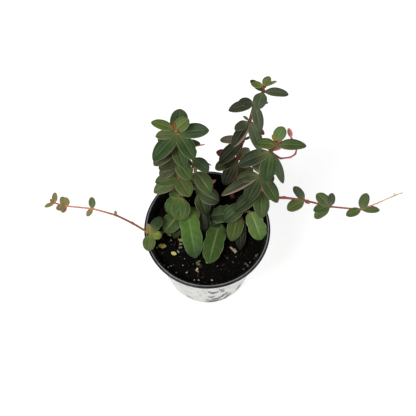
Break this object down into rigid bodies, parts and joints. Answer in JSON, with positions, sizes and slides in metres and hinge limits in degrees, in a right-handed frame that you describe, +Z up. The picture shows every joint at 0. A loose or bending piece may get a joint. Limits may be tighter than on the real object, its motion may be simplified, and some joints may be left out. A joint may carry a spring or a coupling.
{
  "type": "potted peperomia verticillata",
  "caption": "Small trailing houseplant with whorled leaves on upright stems and two runners, growing in a round nursery pot.",
  "frame": {"origin": "middle of the flat underside of the pot", "axes": "+Z up along the pot's axis, +X towards the long runner on the right, -Y towards the viewer"},
  "size_m": [0.3037, 0.1299, 0.2132],
  "materials": {
    "pot": "satin",
    "pot_outside": "satin",
    "soil": "matte",
    "perlite": "matte",
    "leaf_dark": "satin",
    "leaf_bright": "satin",
    "leaf_olive": "satin",
    "stem": "satin",
    "fallen_leaf": "matte"
  },
  "bodies": {
    "root": {"pot": "pot", "soil": "soil", "stem_left": "leaf_dark", "stem_middle": "leaf_dark", "stem_tall": "leaf_dark", "stem_right": "leaf_dark", "runner_left": "leaf_olive", "shoot_front": "leaf_bright"}
  },
  "joints": []
}
